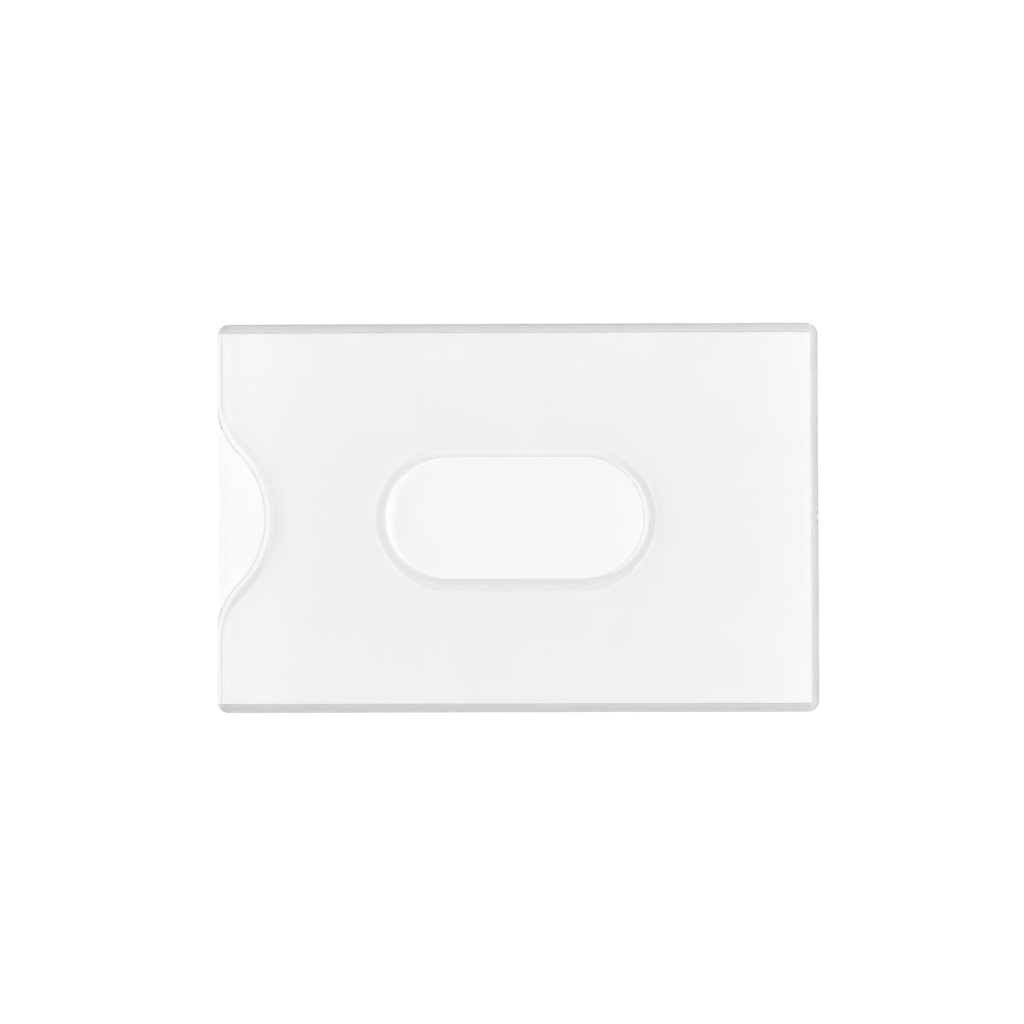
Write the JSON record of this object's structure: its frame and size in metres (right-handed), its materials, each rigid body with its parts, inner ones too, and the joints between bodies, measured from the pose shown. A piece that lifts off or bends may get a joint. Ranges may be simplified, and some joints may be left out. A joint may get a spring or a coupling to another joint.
{
  "type": "card sleeve",
  "caption": "Flat rigid clear plastic card sleeve, open at a short end, with a round thumb notch in the front plate's mouth edge and a stadium thumb window in its middle.",
  "frame": {"origin": "centre of the back face's outline, on the surface that the sleeve lies on", "axes": "+X along the sleeve from the open mouth to the closed end, +Y across it, +Z out of the front face with the thumb window"},
  "size_m": [0.088, 0.057, 0.0033],
  "materials": {
    "clear_front": "satin",
    "clear_back": "satin"
  },
  "bodies": {
    "root": {"front_shell": "clear_front", "back_shell": "clear_back"}
  },
  "joints": []
}
